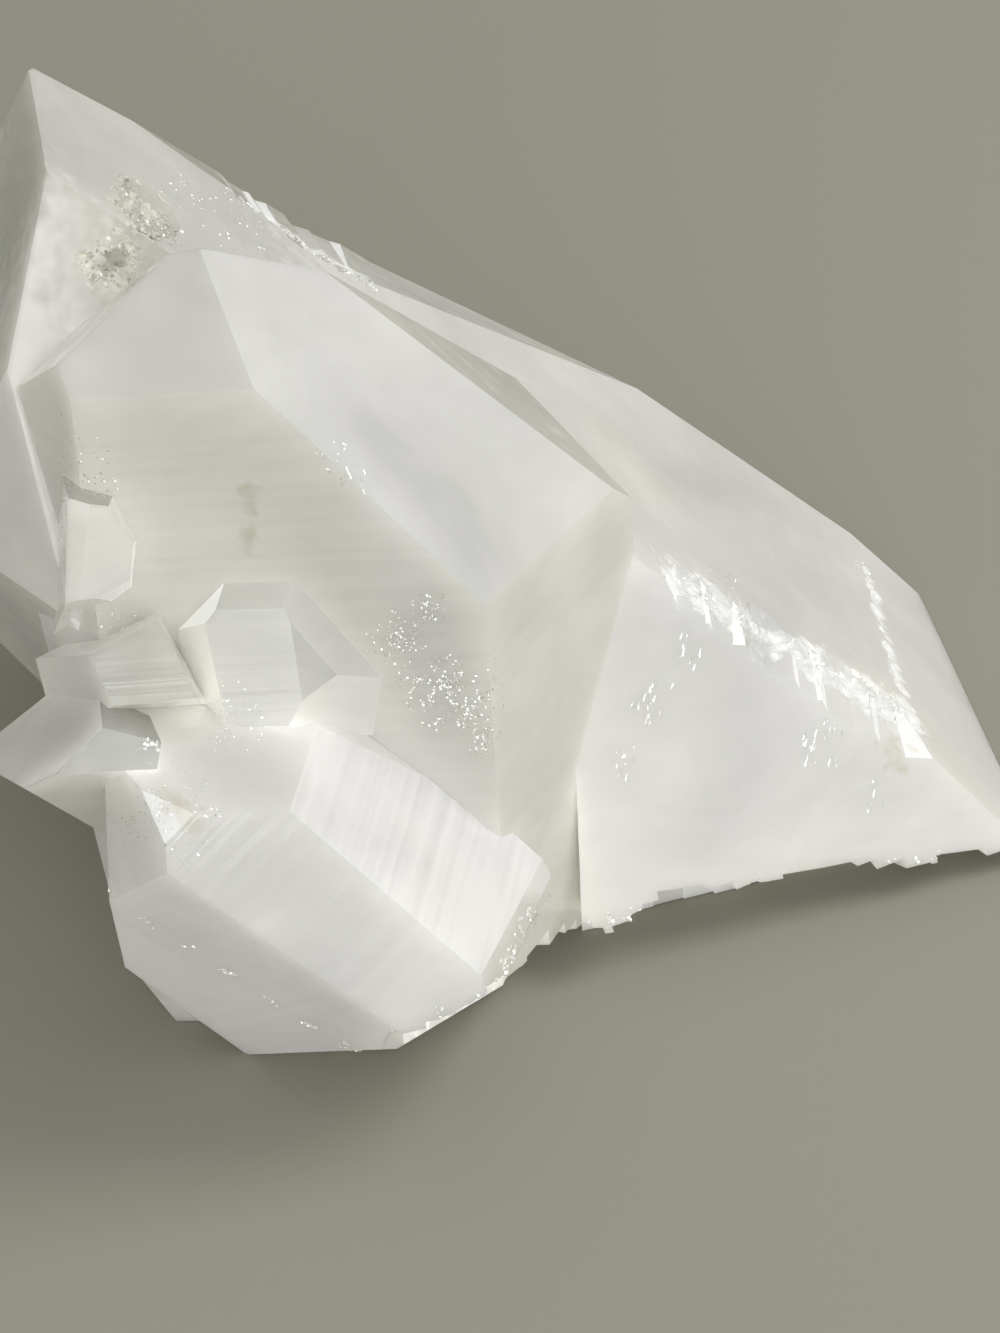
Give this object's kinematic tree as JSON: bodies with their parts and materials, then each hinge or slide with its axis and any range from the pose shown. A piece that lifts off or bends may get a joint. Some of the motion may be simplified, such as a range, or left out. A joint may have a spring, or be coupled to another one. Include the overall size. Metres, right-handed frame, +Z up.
{
  "type": "quartz cluster",
  "caption": "Cluster of intergrown milky-clear quartz crystals with flat facets, stepped broken rims and a flat cut base to rest on.",
  "frame": {"origin": "a point of the flat cut base, below the front right corner of the tall crystal", "axes": "+Z up, out of the flat base; +X to the right, along the slope of the long crystal; -Y is the front"},
  "size_m": [0.123, 0.1127, 0.0806],
  "materials": {
    "clear_quartz": "polished"
  },
  "bodies": {
    "root": {"quartz_cluster": "clear_quartz"}
  },
  "joints": []
}
